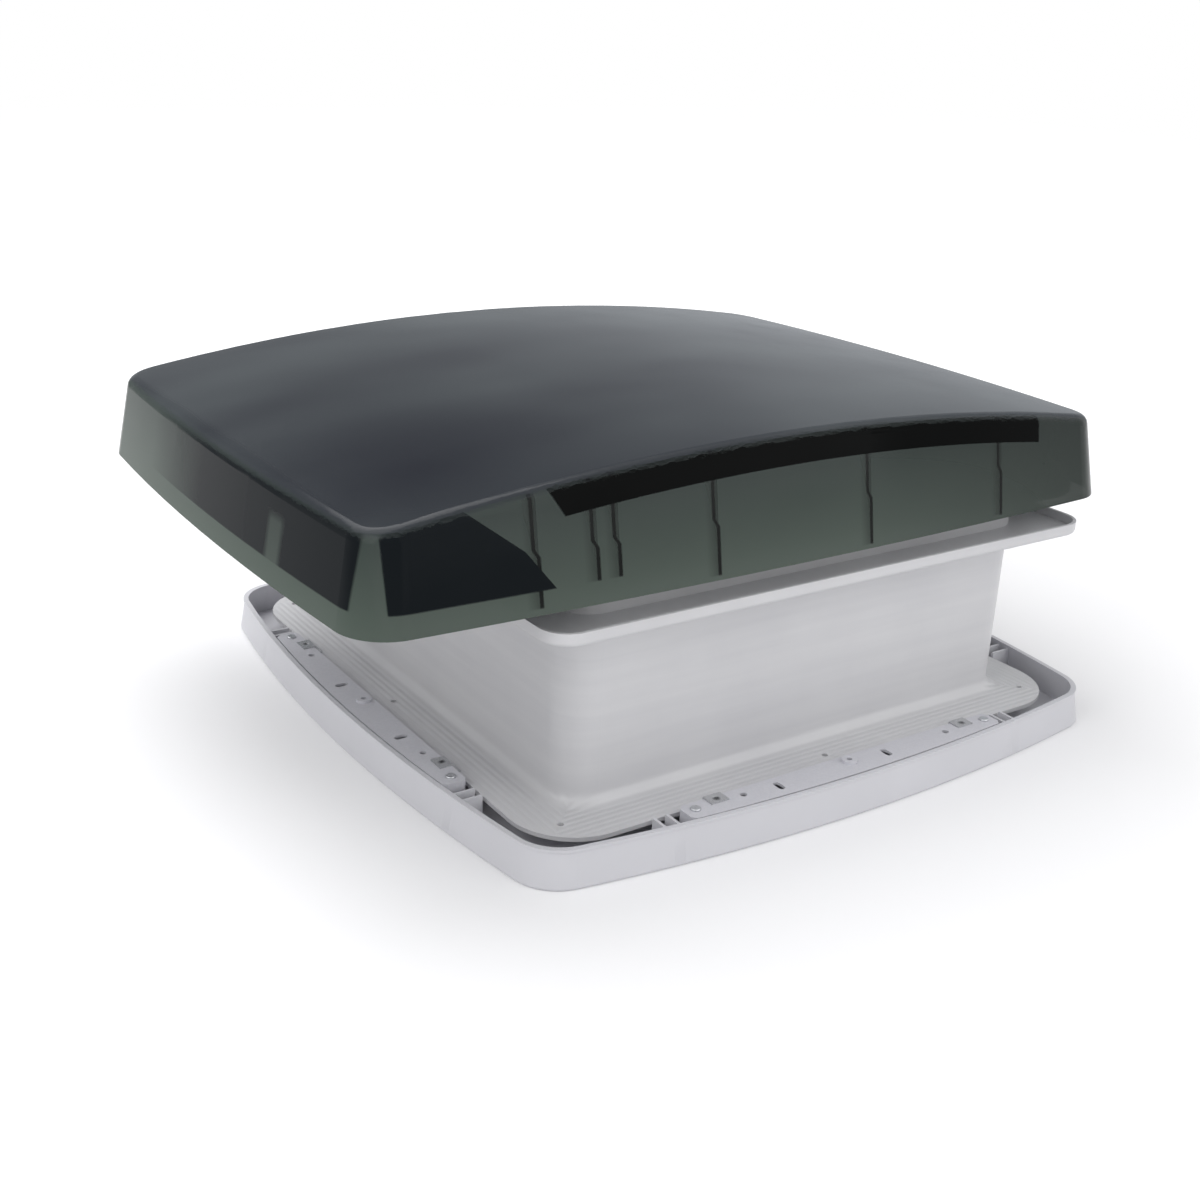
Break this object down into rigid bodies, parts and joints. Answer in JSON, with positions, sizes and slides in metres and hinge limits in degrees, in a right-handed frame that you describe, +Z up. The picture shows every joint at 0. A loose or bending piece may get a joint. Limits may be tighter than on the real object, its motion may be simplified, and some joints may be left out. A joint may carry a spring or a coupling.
{
  "type": "caravan roof vent",
  "caption": "Square roof vent for a caravan or camper: smoked hinged dome on a white upstand frame with a bowed interior tray, lifting bow, flyscreen and blind.",
  "frame": {"origin": "middle of the four corner screw holes of the roof flange, on the flange underside that beds on the roof", "axes": "+Z up out of the roof, -X to the front edge that lifts, +X to the hinges, +Y to the right side"},
  "size_m": [0.63, 0.5402, 0.2595],
  "materials": {
    "smoked_acrylic": "polished, see-through grey-green tint",
    "pane_acrylic": "polished, opal",
    "grey_plastic": "moulded satin",
    "seal_rubber": "matt",
    "white_abs": "moulded, soft gloss",
    "white_plastic": "moulded satin",
    "rail_plastic": "moulded satin",
    "spring_steel": "bright strip",
    "zinc_steel": "zinc plated",
    "satin_aluminium": "satin anodised",
    "hinge_metal": "powder coated",
    "acetal": "smooth",
    "knob_plastic": "fine grain",
    "screen_fabric": "fine black mesh, pleated",
    "blind_fabric": "pleated, light cream"
  },
  "bodies": {
    "frame": {"arm_bracket_left": "white_plastic", "arm_bracket_right": "white_plastic", "blind_cassette": "white_plastic", "blind_guide_left": "white_plastic", "blind_guide_right": "white_plastic", "catch_base_left": "white_plastic", "catch_base_right": "white_plastic", "catch_pins": "zinc_steel", "dome_seal": "seal_rubber", "frame_hinge_left": "hinge_metal", "frame_hinge_right": "hinge_metal", "frame_hinge_screws": "zinc_steel", "hinge_pins": "zinc_steel", "inner_tray": "white_abs", "mounting_rail_front": "rail_plastic", "mounting_rail_left": "rail_plastic", "mounting_rail_rear": "rail_plastic", "mounting_rail_right": "rail_plastic", "pivot_bolts": "zinc_steel", "pleated_blind": "blind_fabric", "pleated_screen": "screen_fabric", "rail_clips": "spring_steel", "rail_screws": "zinc_steel", "screen_cassette": "white_plastic", "upstand_frame": "white_abs"},
    "lid": {"outer_dome": "smoked_acrylic", "inner_pane": "pane_acrylic", "lid_frame": "grey_plastic", "dome_screws": "zinc_steel", "lid_hinge_left": "hinge_metal", "lid_hinge_right": "hinge_metal", "lid_hinge_screws": "zinc_steel", "slide_rail_left": "grey_plastic", "slide_rail_right": "grey_plastic"},
    "lifting_bow": {"stay_arm_left": "satin_aluminium", "stay_arm_right": "satin_aluminium", "grab_bar": "satin_aluminium", "slot_roller_left": "acetal", "slot_roller_right": "acetal", "axle_clips": "spring_steel"},
    "clamp_knob_left": {"clamp_knob_left": "knob_plastic"},
    "clamp_knob_right": {"clamp_knob_right": "knob_plastic"},
    "turn_catch_left": {"turn_catch_left": "knob_plastic"},
    "turn_catch_right": {"turn_catch_right": "knob_plastic"},
    "screen_bar": {"screen_bar": "white_plastic"},
    "blind_bar": {"blind_bar": "white_plastic"}
  },
  "joints": [
    {"name": "lid_tilt", "type": "hinge", "parent": "frame", "child": "lid", "pos_m": [0.246, 0, 0.146], "axis": [0, 1, 0], "range_deg": [0, 50]},
    {"name": "bow_lift", "type": "hinge", "parent": "frame", "child": "lifting_bow", "pos_m": [0.048, 0, 0.146], "axis": [0, 1, 0], "range_deg": [0, 100]},
    {"name": "knob_turn_left", "type": "hinge", "parent": "frame", "child": "clamp_knob_left", "pos_m": [0.048, -0.165, 0.146], "axis": [0, 1, 0], "range_deg": [0, 90]},
    {"name": "knob_turn_right", "type": "hinge", "parent": "frame", "child": "clamp_knob_right", "pos_m": [0.048, 0.165, 0.146], "axis": [0, 1, 0], "range_deg": [-90, 0]},
    {"name": "catch_turn_left", "type": "hinge", "parent": "frame", "child": "turn_catch_left", "pos_m": [-0.172, -0.06, 0.1556], "axis": [0, 0, 1], "range_deg": [0, 90]},
    {"name": "catch_turn_right", "type": "hinge", "parent": "frame", "child": "turn_catch_right", "pos_m": [-0.172, 0.06, 0.1556], "axis": [0, 0, 1], "range_deg": [-90, 0]},
    {"name": "screen_slide", "type": "slide", "parent": "frame", "child": "screen_bar", "axis": [-1, 0, 0], "range_m": [0, 0.33], "deforming": ["pleated_screen"]},
    {"name": "blind_slide", "type": "slide", "parent": "frame", "child": "blind_bar", "axis": [1, 0, 0], "range_m": [0, 0.33], "deforming": ["pleated_blind"]}
  ],
  "couplings": [
    {"joint": "bow_lift", "follows": "lid_tilt", "ratio": 2}
  ]
}
